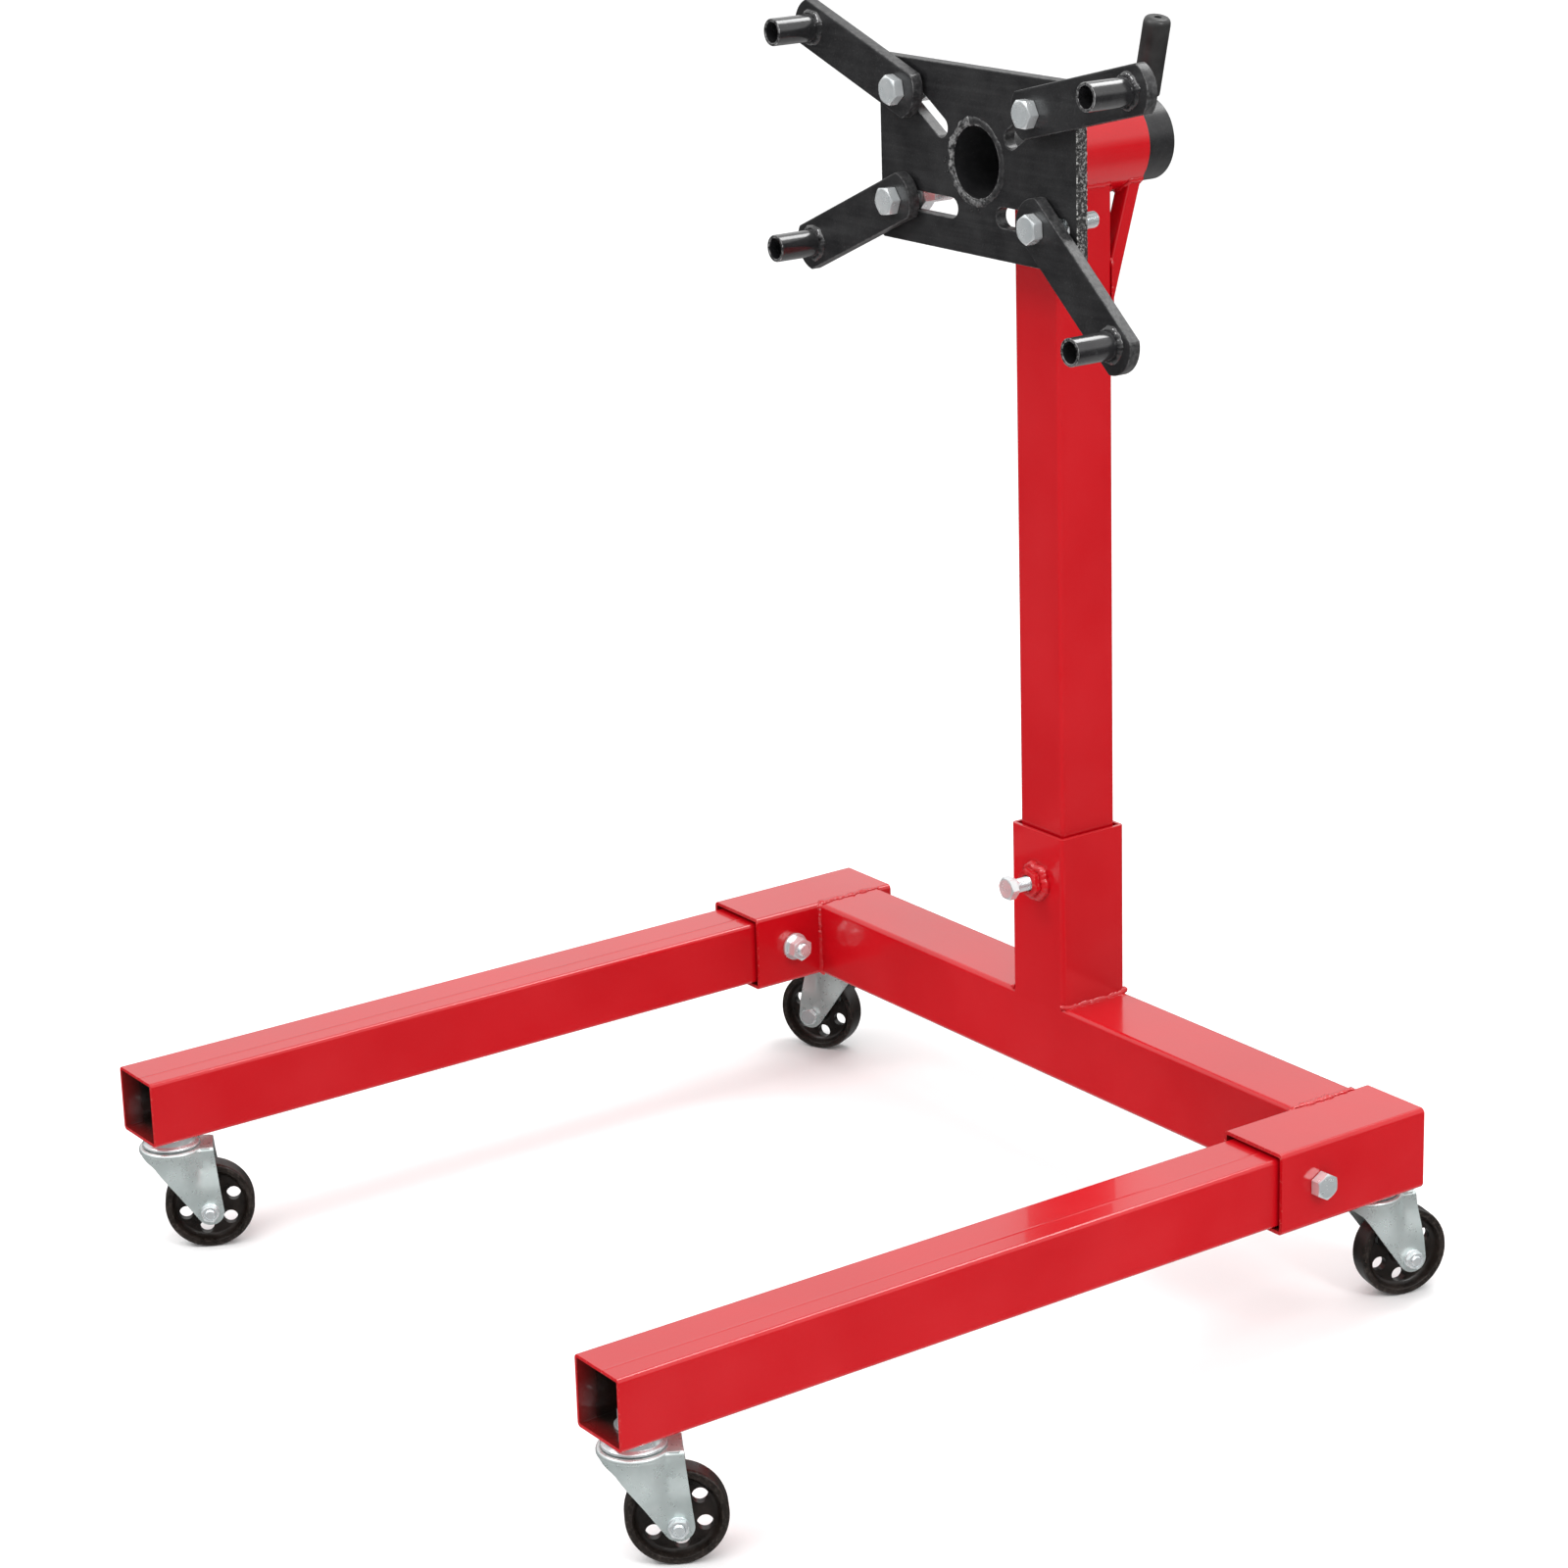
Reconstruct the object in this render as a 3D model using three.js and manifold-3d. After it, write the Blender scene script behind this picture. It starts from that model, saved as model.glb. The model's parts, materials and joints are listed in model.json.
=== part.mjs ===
// Engine stand: wheeled U-shaped base, removable upright, rotating head with four slotted mounting arms.
// Millimetres, +Z up, -Y is the side the engine hangs on.
import * as THREE from "three";
import { mergeVertices } from "three/addons/utils/BufferGeometryUtils.js";
import Module from "manifold-3d";

const wasm = await Module();
wasm.setup();

// ---------------------------------------------------------------- driving dimensions
const GAP = 0.3; // clearance left between touching pieces
const SHIFT_X = 8.278; // moves the origin to the middle of the bounding box
const SHIFT_Y = 274.034;

const SLEEVE = 60; // outside of the sleeves, the cross tube and the post socket
const SLEEVE_WALL = 3;
const LEG = 50; // outside of the legs and the upright
const LEG_WALL = 2.5;
const BASE_Z = 87; // underside of the sleeves above the floor
const LEG_Z = BASE_Z + (SLEEVE - LEG) / 2; // underside of the legs
const SPREAD = 310; // leg centre lines, either side of the middle
const SLEEVE_FRONT = -91;
const SLEEVE_BACK = 42;
const LEG_FRONT = -628;
const LEG_BACK = 0;
const LEG_BOLT_Y = -56;

const SOCKET_TOP = 280;
const CLAMP_Z = 241;
const CLAMP_REACH = 29.5; // socket face to the front of the clamp bolt's head

const HEAD_Z = 783; // axis the head turns about
const TUBE_R = 34.5;
const TUBE_BORE_R = 30.6;
const TUBE_FRONT = -32;
const TUBE_BACK = 52.7;
const SHAFT_R = 30;
const SHAFT_BORE_R = 25.5;
const SHAFT_BACK = 79.5;
const LOCK_Y = 39; // head lock bolt, on the left of the head tube
const BRACE_W = 14;
const BRACE_SLOPE = 0.302; // sideways run per height
const BRACE_FOOT_Z = 667;
const BRACE_TOP_Z = 775;

const PLATE_FRONT = -77.5;
const PLATE_T = 9.5;
const PLATE_W = 222;
const PLATE_H = 132;
const SLOT_W = 14.5;
const SLOTS = [
  [-88, 52, -39.5, 20.5],
  [-95, -35.3, -29, -35.3],
  [29, -35.3, 95, -35.3],
  [39.5, 20.5, 88, 52],
];

const ARM_T = 9.5;
const ARM_W = 34;
const ARM_REACH = 106; // bolt to stub tube
const ARM_END_R = 21;
const WASHER_T = 2.5;
const STUB_R = 10;
const STUB_BORE_R = 7.6;
const STUB_LEN = 35;
const BOLT_R = 6;
const HEX_AF = 19;
const LEG_BOLT_AF = 17;
const CLAMP_AF = 16;
const BOLT_END = -35;
// name, bolt x, bolt z above the head axis, angle of the arm from +X
const ARMS = [
  ["ul", -76.6, 44.6, 161],
  ["ll", -83.5, -35.3, 204],
  ["lr", 78.5, -35.3, -40.5],
  ["ur", 74.4, 43.2, 13.7],
];

const HANDLE_Y = 71;
const HANDLE_TILT = 13.5; // degrees from upright, towards +X
const HANDLE_TOP = 91;

const WHEEL_R = 33;
const WHEEL_W = 18;
const TRAIL = 25;
const RACE_Z = 82; // underside of the fixed race plate
const CHEEK_OUT = 20; // outer face of a fork cheek from the wheel's middle plane
const AXLE_END = 26.8;
// name, x, y, swivel angle in degrees of the trailing direction from +Y towards +X, underside it is fixed to
const CASTERS = [
  ["fr", SPREAD, -603, 31, LEG_Z],
  ["fl", -SPREAD, -603, 28, LEG_Z],
  ["rr", SPREAD, 18, 15, BASE_Z],
  ["rl", -SPREAD, 18, 243, BASE_Z],
];

// ---------------------------------------------------------------- materials
const paint = (name, color, metalness, roughness) => {
  const m = new THREE.MeshStandardMaterial({ color, metalness, roughness });
  m.name = name;
  return m;
};
const red = paint("red_powder_coat", 0xc4161c, 0.1, 0.25);
const black = paint("black_powder_coat", 0x1c1c1e, 0.1, 0.5);
const zinc = paint("zinc_plate", 0xb8c0c4, 0.9, 0.3);
const iron = paint("wheel_black", 0x241f1d, 0.3, 0.5);
const rubber = paint("grip_black", 0x18181a, 0, 0.6);

// ---------------------------------------------------------------- helpers
const root = new THREE.Group();
root.name = "engine_stand";

function solid(geometry) {
  const g = (geometry.index ? geometry.toNonIndexed() : geometry.clone());
  g.deleteAttribute("normal");
  g.deleteAttribute("uv");
  const merged = mergeVertices(g, 1e-3);
  return new wasm.Manifold(new wasm.Mesh({
    numProp: 3,
    vertProperties: merged.attributes.position.array,
    triVerts: new Uint32Array(merged.index.array),
  }));
}

function surface(body) {
  const m = body.getMesh();
  const n = m.numProp;
  const v = new Float32Array((m.vertProperties.length / n) * 3);
  for (let i = 0; i < v.length / 3; i++) v.set(m.vertProperties.subarray(i * n, i * n + 3), i * 3);
  const g = new THREE.BufferGeometry();
  g.setAttribute("position", new THREE.BufferAttribute(v, 3));
  g.setIndex(new THREE.BufferAttribute(new Uint32Array(m.triVerts), 1));
  g.computeVertexNormals();
  return g;
}

function add(name, geometry, material) {
  const mesh = new THREE.Mesh(geometry, material.clone());
  mesh.name = name;
  root.add(mesh);
  return mesh;
}

function cut(base, ...tools) {
  let s = solid(base);
  for (const t of tools) s = s.subtract(solid(t));
  return surface(s);
}

function join(...pieces) {
  let s = solid(pieces[0]);
  for (const p of pieces.slice(1)) s = s.add(solid(p));
  return surface(s);
}

// A geometry drawn along +Z turned to run along another axis.
const alongY = (g) => g.rotateX(-Math.PI / 2);
const alongX = (g) => g.rotateY(Math.PI / 2);

function roundedPath(target, w, h, r, steps) {
  const corners = [[w / 2 - r, h / 2 - r, 0], [-w / 2 + r, h / 2 - r, 1], [-w / 2 + r, -h / 2 + r, 2], [w / 2 - r, -h / 2 + r, 3]];
  const pts = [];
  for (const [cx, cy, q] of corners) {
    for (let i = 0; i <= steps; i++) {
      const a = (q + i / steps) * Math.PI / 2;
      pts.push(new THREE.Vector2(cx + r * Math.cos(a), cy + r * Math.sin(a)));
    }
  }
  target.setFromPoints(pts);
  return target;
}

// Square tube with rounded corners, from z0 to z1 along +Z.
function squareTube(size, wall, z0, z1) {
  const s = roundedPath(new THREE.Shape(), size, size, wall * 1.5, 2);
  s.holes.push(roundedPath(new THREE.Path(), size - 2 * wall, size - 2 * wall, wall * 0.6, 1));
  return new THREE.ExtrudeGeometry(s, { depth: z1 - z0, bevelEnabled: false }).translate(0, 0, z0);
}

function rod(r, z0, z1, segments = 16) {
  const g = new THREE.CylinderGeometry(r, r, z1 - z0, segments);
  return g.rotateX(Math.PI / 2).translate(0, 0, (z0 + z1) / 2);
}

function hex(af, z0, z1) {
  return rod(af / Math.sqrt(3), z0, z1, 6);
}

// Round tube along +Z from a closed lathe profile.
function roundTube(ro, ri, z0, z1, segments = 36) {
  const p = [[ri, z0], [ro, z0], [ro, z1], [ri, z1], [ri, z0]].map(([a, b]) => new THREE.Vector2(a, b));
  return new THREE.LatheGeometry(p, segments).rotateX(Math.PI / 2);
}

function turned(profile, segments) {
  const p = profile.map(([a, b]) => new THREE.Vector2(a, b));
  return new THREE.LatheGeometry(p, segments).rotateX(Math.PI / 2);
}

function plateShape(shape, z0, z1) {
  return new THREE.ExtrudeGeometry(shape, { depth: z1 - z0, bevelEnabled: false }).translate(0, 0, z0);
}

// ---------------------------------------------------------------- base weldment
const half = SPREAD - SLEEVE / 2 - GAP;
const midZ = BASE_Z + SLEEVE / 2;
const crossbar = alongX(squareTube(SLEEVE, SLEEVE_WALL, -half, half)).translate(0, 0, midZ);
add("crossbar", crossbar, red);

const legBoltHole = (x) => alongX(rod(BOLT_R + 0.5, -60, 60)).translate(x, LEG_BOLT_Y, midZ);
const stemHole = (x, y, z) => rod(5.5 + 0.5, -6, 12).translate(x, y, z);

for (const [side, s] of [["left", -1], ["right", 1]]) {
  const x = s * SPREAD;
  const sleeve = alongY(squareTube(SLEEVE, SLEEVE_WALL, SLEEVE_FRONT, SLEEVE_BACK)).translate(x, 0, midZ);
  const rear = CASTERS.find((c) => c[1] === x && c[2] > 0);
  const front = CASTERS.find((c) => c[1] === x && c[2] < 0);
  add(side + "_leg_socket", cut(sleeve, legBoltHole(x), stemHole(x, rear[2], BASE_Z)), red);
  const leg = alongY(squareTube(LEG, LEG_WALL, LEG_FRONT, LEG_BACK)).translate(x, 0, midZ);
  add(side + "_leg", cut(leg, legBoltHole(x), stemHole(x, front[2], LEG_Z)), red);

  // bolt through sleeve and leg: head on the outside, washer and nut on the inside
  const out = SLEEVE / 2 + GAP;
  const bolt = join(rod(BOLT_R, -out - 17, out + 1), hex(LEG_BOLT_AF, out, out + 8));
  const place = (g) => (s > 0 ? alongX(g) : alongX(g).rotateZ(Math.PI)).translate(x, LEG_BOLT_Y, midZ);
  add(side + "_leg_bolt", place(bolt), zinc);
  add(side + "_leg_washer", place(roundTube(12, BOLT_R + 0.4, -out - 2.2, -out, 24)), zinc);
  add(side + "_leg_nut", place(cut(hex(LEG_BOLT_AF, -out - 12.5, -out - 2.5), rod(BOLT_R + 0.4, -80, 0))), zinc);
}

// post socket, with the nut of the clamp bolt welded over a hole in its front face
const clampHole = alongY(rod(BOLT_R + 0.5, -50, -10)).translate(0, 0, CLAMP_Z);
const socket = squareTube(SLEEVE, SLEEVE_WALL, BASE_Z + SLEEVE + GAP, SOCKET_TOP);
add("post_socket", cut(socket, clampHole), red);
const clampNut = cut(hex(21, -SLEEVE / 2 - GAP - 10, -SLEEVE / 2 - GAP), rod(BOLT_R + 0.4, -60, 0));
add("clamp_nut", alongY(clampNut).translate(0, 0, CLAMP_Z), red);
const clampTip = -LEG / 2 - 0.5;
const clampHead = -SLEEVE / 2 - CLAMP_REACH;
const clampBolt = join(rod(BOLT_R, clampHead + 5, clampTip), hex(CLAMP_AF, clampHead, clampHead + 6.5));
add("clamp_bolt", alongY(clampBolt).translate(0, 0, CLAMP_Z), zinc);

// ---------------------------------------------------------------- upright
const headAxis = (g) => alongY(g).translate(0, 0, HEAD_Z);
const columnTube = squareTube(LEG, LEG_WALL, BASE_Z + SLEEVE + 2 * GAP, HEAD_Z);
const saddle = headAxis(rod(TUBE_R + GAP, -80, 80, 36));
add("column", cut(columnTube, saddle), red);

const sideBore = alongX(rod(BOLT_R + 0.5, -60, -20)).translate(0, LOCK_Y, HEAD_Z);
add("head_tube", cut(headAxis(roundTube(TUBE_R, TUBE_BORE_R, TUBE_FRONT, TUBE_BACK)), sideBore), red);

const lockNut = alongX(hex(21, -46, -30)).translate(0, LOCK_Y, HEAD_Z);
add("head_lock_nut", cut(lockNut, saddle, sideBore), red);
const lockBolt = join(rod(BOLT_R, -62, -SHAFT_R - 0.5), hex(HEX_AF, -68, -60));
add("head_lock_bolt", alongX(lockBolt).translate(0, LOCK_Y, HEAD_Z), zinc);

// two struts from under the back of the head tube down to the back of the upright, flush with its sides
const struts = new THREE.Shape([
  [BRACE_FOOT_Z + 38, LEG / 2 + GAP], [BRACE_FOOT_Z, LEG / 2 + GAP],
  [BRACE_TOP_Z, LEG / 2 + GAP + (BRACE_TOP_Z - BRACE_FOOT_Z) * BRACE_SLOPE],
  [BRACE_TOP_Z, LEG / 2 + GAP + (BRACE_TOP_Z - BRACE_FOOT_Z - 38) * BRACE_SLOPE],
].map(([z, y]) => new THREE.Vector2(y, z)));
for (const [side, x] of [["left", -LEG / 2 + GAP], ["right", LEG / 2 - GAP - BRACE_W]]) {
  const bar = new THREE.ExtrudeGeometry(struts, { depth: BRACE_W, bevelEnabled: false })
    .applyMatrix4(new THREE.Matrix4().makeBasis(
      new THREE.Vector3(0, 1, 0), new THREE.Vector3(0, 0, 1), new THREE.Vector3(1, 0, 0)))
    .translate(x, 0, 0);
  add(side + "_brace", cut(bar, saddle), red);
}

// ---------------------------------------------------------------- turning head
const tilt = THREE.MathUtils.degToRad(HANDLE_TILT);
const handleAxis = (g) => g.rotateY(tilt).translate(0, HANDLE_Y, HEAD_Z);
const shaft = headAxis(roundTube(SHAFT_R, SHAFT_BORE_R, PLATE_FRONT, SHAFT_BACK));
add("head_shaft", cut(shaft, handleAxis(rod(6.4, 0, 60))), black);

const sheet = roundedPath(new THREE.Shape(), PLATE_W, PLATE_H, 2, 1);
sheet.holes.push(new THREE.Path().setFromPoints(
  Array.from({ length: 36 }, (_, i) => {
    const a = -(i / 36) * 2 * Math.PI;
    return new THREE.Vector2((SHAFT_R + GAP) * Math.cos(a), (SHAFT_R + GAP) * Math.sin(a));
  })));
for (const [x0, y0, x1, y1] of SLOTS) {
  const dir = Math.atan2(y1 - y0, x1 - x0);
  const pts = [];
  for (const [cx, cy, start] of [[x1, y1, dir - Math.PI / 2], [x0, y0, dir + Math.PI / 2]]) {
    for (let i = 0; i <= 6; i++) {
      const a = start + (i / 6) * Math.PI;
      pts.push(new THREE.Vector2(cx + SLOT_W / 2 * Math.cos(a), cy + SLOT_W / 2 * Math.sin(a)));
    }
  }
  sheet.holes.push(new THREE.Path().setFromPoints(pts.reverse()));
}
// extruded shapes are drawn in x and z, and their depth runs towards -Y
const facing = (g, y) => g.rotateX(Math.PI / 2).translate(0, y, HEAD_Z);
add("head_plate", facing(plateShape(sheet, 0, PLATE_T), PLATE_FRONT + PLATE_T), black);

add("handle_rod", handleAxis(rod(6, 20, HANDLE_TOP - 5, 16)), zinc);
const gripProfile = [
  [6.3, 34], [9.4, 34], [10, 36], [10, 86], [9, 90], [6.5, 91], [2.6, 91], [2.6, HANDLE_TOP - 4.5],
  [6.3, HANDLE_TOP - 4.5], [6.3, 34],
];
add("handle_grip", handleAxis(turned(gripProfile, 20)), rubber);

// ---------------------------------------------------------------- arms
function barShape() {
  const s = new THREE.Shape();
  const reach = Math.asin(ARM_W / 2 / ARM_END_R);
  const pts = [];
  for (let i = 0; i <= 6; i++) {
    const a = -reach + (i / 6) * 2 * reach;
    pts.push(new THREE.Vector2(ARM_REACH + ARM_END_R * Math.cos(a), ARM_END_R * Math.sin(a)));
  }
  for (let i = 0; i <= 6; i++) {
    const a = Math.PI - reach + (i / 6) * 2 * reach;
    pts.push(new THREE.Vector2(ARM_END_R * Math.cos(a), ARM_END_R * Math.sin(a)));
  }
  s.setFromPoints(pts);
  for (const [cx, r] of [[0, BOLT_R + 0.5], [ARM_REACH, STUB_BORE_R]]) {
    const hole = Array.from({ length: 16 }, (_, i) => {
      const a = -(i / 16) * 2 * Math.PI;
      return new THREE.Vector2(cx + r * Math.cos(a), r * Math.sin(a));
    });
    s.holes.push(new THREE.Path().setFromPoints(hole));
  }
  return s;
}

const armBack = PLATE_FRONT - WASHER_T;
const armFront = armBack - ARM_T;
for (const [name, x, z, deg] of ARMS) {
  // shapes stay in x and z once turned, so the arm's angle is a turn about their own z before that
  const a = THREE.MathUtils.degToRad(deg);
  const put = (g) => g.translate(x, 0, z + HEAD_Z);
  const bar = plateShape(barShape(), 0, ARM_T - GAP).rotateZ(a).rotateX(Math.PI / 2).translate(0, armBack, 0);
  add("arm_" + name, put(bar), black);
  const stub = alongY(roundTube(STUB_R, STUB_BORE_R, armFront - STUB_LEN, armFront, 20));
  add("stub_tube_" + name, put(stub.translate(ARM_REACH * Math.cos(a), 0, ARM_REACH * Math.sin(a))), black);
  const bolt = join(rod(BOLT_R, armFront - 1, BOLT_END, 16), hex(HEX_AF, armFront - 8, armFront - GAP));
  add("arm_bolt_" + name, put(alongY(bolt)), zinc);
  const washer = roundTube(12, BOLT_R + 0.4, PLATE_FRONT - WASHER_T + GAP, PLATE_FRONT - GAP, 24);
  add("arm_washer_" + name, put(alongY(washer)), black);
  const back = PLATE_FRONT + PLATE_T + GAP;
  const nut = cut(hex(HEX_AF, back, back + 10.5), rod(BOLT_R + 0.4, back - 5, back + 20));
  add("arm_nut_" + name, put(alongY(nut)), zinc);
}

// ---------------------------------------------------------------- casters
function forkSide() {
  const s = new THREE.Shape();
  s.setFromPoints([
    [-13, 81], [-13, 68.6], [14.5, 31], [18, 25.2], [25, 22.5], [32, 25.2], [35.5, 32], [31, 70], [30, 81],
  ].map(([a, b]) => new THREE.Vector2(a, b)));
  return s;
}

for (const [name, x, y, deg, top] of CASTERS) {
  // drawn trailing towards +Y, then swivelled
  const put = (g) => g.rotateZ(-THREE.MathUtils.degToRad(deg)).translate(x, y, 0);
  const race = join(rod(21.2, RACE_Z, top - GAP, 24), rod(6.8, 70, RACE_Z + 1, 12), rod(10, 69, 72, 12),
    rod(5.5, RACE_Z, top + 14, 12), hex(19, top + 3.3, top + 12.8));
  add("caster_race_" + name, put(race), zinc);

  const inner = CHEEK_OUT - 2.5;
  const sides = [inner, -inner - 2.5].map((o) => {
    const g = new THREE.ExtrudeGeometry(forkSide(), { depth: 2.5, bevelEnabled: false });
    // shape x becomes Y, shape y becomes Z, depth becomes X
    const m = new THREE.Matrix4().makeBasis(
      new THREE.Vector3(0, 1, 0), new THREE.Vector3(0, 0, 1), new THREE.Vector3(1, 0, 0));
    return g.applyMatrix4(m).translate(o, 0, 0);
  });
  const crown = rod(24, 78, RACE_Z - 0.6, 24);
  const tail = new THREE.BoxGeometry(2 * inner + 5, 34, 3.4).translate(0, 14, 79.7);
  const fork = solid(crown).add(solid(tail)).add(solid(sides[0])).add(solid(sides[1]))
    .subtract(solid(rod(7.4, 60, 90, 12)))
    .subtract(solid(alongX(rod(4.4, -40, 40, 12)).translate(0, TRAIL, WHEEL_R)));
  add("caster_fork_" + name, put(surface(fork)), zinc);

  const w = WHEEL_W / 2;
  const hub = inner - 0.8;
  const profile = [
    [4.5, -hub], [9, -hub], [9, -3], [26, -3], [28, -w], [33, -w + 2],
    [33, w - 2], [28, w], [26, 3], [9, 3], [9, hub], [4.5, hub], [4.5, -hub],
  ];
  let wheel = solid(turned(profile, 28));
  for (let i = 0; i < 6; i++) {
    const a = (i / 6) * 2 * Math.PI + 0.35;
    wheel = wheel.subtract(solid(rod(4.8, -10, 10, 8).translate(19.5 * Math.cos(a), 19.5 * Math.sin(a), 0)));
  }
  add("caster_wheel_" + name, put(alongX(surface(wheel)).translate(0, TRAIL, WHEEL_R)), iron);

  const face = inner + 2.5 + GAP;
  const axle = join(rod(4, -face - 1, AXLE_END, 12), hex(12, -face - 5, -face), hex(12, face, face + 5.3));
  add("caster_axle_" + name, put(alongX(axle).translate(0, TRAIL, WHEEL_R)), zinc);
}

// ---------------------------------------------------------------- origin
root.position.set(SHIFT_X, SHIFT_Y, 0);

export default root;
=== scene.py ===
import json
import math
import random

import bpy
import numpy as np
from mathutils import Matrix, Vector, noise
from mathutils.geometry import tessellate_polygon


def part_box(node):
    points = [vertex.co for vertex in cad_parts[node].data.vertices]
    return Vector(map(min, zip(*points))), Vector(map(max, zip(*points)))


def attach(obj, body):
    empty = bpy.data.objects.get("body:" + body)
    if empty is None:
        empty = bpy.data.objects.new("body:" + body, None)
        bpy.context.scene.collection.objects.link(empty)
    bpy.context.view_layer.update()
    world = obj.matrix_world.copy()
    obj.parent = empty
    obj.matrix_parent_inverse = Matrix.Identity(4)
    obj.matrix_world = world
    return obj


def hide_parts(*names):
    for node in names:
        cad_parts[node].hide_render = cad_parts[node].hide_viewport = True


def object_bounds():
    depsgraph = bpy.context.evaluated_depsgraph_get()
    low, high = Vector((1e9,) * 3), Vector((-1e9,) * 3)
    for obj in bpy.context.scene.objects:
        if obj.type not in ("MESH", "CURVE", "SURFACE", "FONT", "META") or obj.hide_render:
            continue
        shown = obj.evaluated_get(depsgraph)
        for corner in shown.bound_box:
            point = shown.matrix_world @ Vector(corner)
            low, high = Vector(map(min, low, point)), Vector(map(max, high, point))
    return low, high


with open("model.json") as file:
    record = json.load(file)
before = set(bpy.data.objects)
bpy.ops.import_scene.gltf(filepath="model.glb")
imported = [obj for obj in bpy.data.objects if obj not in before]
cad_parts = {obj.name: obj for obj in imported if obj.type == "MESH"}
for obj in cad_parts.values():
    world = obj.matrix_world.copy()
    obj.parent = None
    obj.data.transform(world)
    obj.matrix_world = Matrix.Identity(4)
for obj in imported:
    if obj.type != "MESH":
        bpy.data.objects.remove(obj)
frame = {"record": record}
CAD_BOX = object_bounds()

MM = 0.001
lo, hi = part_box("crossbar")
ORIGIN = np.array([(lo.x + hi.x) / 2, (lo.y + hi.y) / 2, 0.0])
BODY = {n: b for b, ns in frame["record"]["behaviour"]["bodies"].items() for n in ns}


# ---------------------------------------------------------------- mesh toolkit
# Geometry is drawn in millimetres, with the origin on the floor under the middle of the
# cross tube, x to the right, y to the back and z up.
TURN = 2 * math.pi


class Geo:
    """Vertices, faces and two numbers per vertex: wear (worn arris, and on the head's weld runs a painted highlight of
    glints), inner (inside of a tube, darkened as bare steel and as painted shade).
    """

    def __init__(self, v, f, wear=None, inner=None):
        self.v = np.asarray(v, float).reshape(-1, 3)
        self.f = [tuple(int(i) for i in q) for q in f]
        n = len(self.v)
        self.wear = np.zeros(n) if wear is None else np.asarray(wear, float)
        self.inner = np.zeros(n) if inner is None else np.asarray(inner, float)

    def __add__(self, other):
        k = len(self.v)
        return Geo(
            np.vstack([self.v, other.v]),
            self.f + [tuple(i + k for i in q) for q in other.f],
            np.r_[self.wear, other.wear],
            np.r_[self.inner, other.inner],
        )

    def mapped(self, m):
        """Turned by a 3x3 matrix whose columns are where x, y and z go."""
        m = np.asarray(m, float)
        f = self.f if np.linalg.det(m) > 0 else [q[::-1] for q in self.f]
        return Geo(self.v @ m.T, f, self.wear, self.inner)

    def moved(self, x=0, y=0, z=0):
        return Geo(self.v + np.array([x, y, z], float), self.f, self.wear, self.inner)

    def turned(self, axis, deg):
        return self.mapped(Matrix.Rotation(math.radians(deg), 3, axis))


# maps for shapes that are drawn along z
ALONG_X = [[0, 0, 1], [1, 0, 0], [0, 1, 0]]  # z goes to +x
ALONG_NEG_X = [[0, 0, -1], [-1, 0, 0], [0, 1, 0]]  # z goes to -x
ALONG_Y = [[0, 1, 0], [0, 0, 1], [1, 0, 0]]  # z goes to +y, and y to +x
ALONG_Y_SEAM_UP = [[1, 0, 0], [0, 0, 1], [0, 1, 0]]  # z goes to +y, and y goes up
ALONG_NEG_Y = [[1, 0, 0], [0, 0, -1], [0, 1, 0]]  # z comes to the front, and y goes up
BACKWARDS = [[1, 0, 0], [0, -1, 0], [0, 0, -1]]  # z goes to -z


def loft(rings, closed=False, wear=None, inner=None):
    """Skin over rings of the same number of points.

    closed joins the last ring to the first, else the ends are capped.
    """
    rings = [np.asarray(r, float) for r in rings]
    k, n = len(rings), len(rings[0])
    f = []
    for i in range(k if closed else k - 1):
        a, b = i * n, ((i + 1) % k) * n
        for j in range(n):
            j2 = (j + 1) % n
            f.append((a + j, a + j2, b + j2, b + j))
    if not closed:
        f.append(tuple(range(n - 1, -1, -1)))
        f.append(tuple((k - 1) * n + j for j in range(n)))
    spread = lambda s: None if s is None else np.repeat(s, n)
    return Geo(np.vstack(rings), f, spread(wear), spread(inner))


def circle(r, z, segs):
    a = np.arange(segs) * TURN / segs
    return np.stack([r * np.cos(a), r * np.sin(a), np.full(segs, float(z))], 1)


def lathe(profile, segs=64, closed=False, wear=None):
    """Turned piece about z from (radius, z) points.

    A closed profile runs up the outside, then down the inside.
    """
    least = 0.02  # so that no ring shrinks to one point
    return loft([circle(max(r, least), z, segs) for r, z in profile], closed, wear)


def ring_tube(ro, ri, z0, z1, segs=72, soft=0.6, worn=1.0):
    """Round tube along z with softened ends."""
    s, k = soft, 0.3 * soft
    p = [(ro - s, z0), (ro - k, z0 + k), (ro, z0 + s), (ro, z1 - s), (ro - k, z1 - k), (ro - s, z1),
         (ri + s, z1), (ri + k, z1 - k), (ri, z1 - s), (ri, z0 + s), (ri + k, z0 + k), (ri + s, z0)]
    w = [0.3, worn, 0, 0, worn, 0.3, 0.3, worn, 0, 0, worn, 0.3]
    return lathe(p, segs, True, w)


SEAM_RIDGE = ((1.5, 0), (0.8, 0.1), (0.25, 0.2), (-0.25, 0.2), (-0.8, 0.1), (-1.5, 0))  # x, lift
SEAM_ROOM = 2


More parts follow.
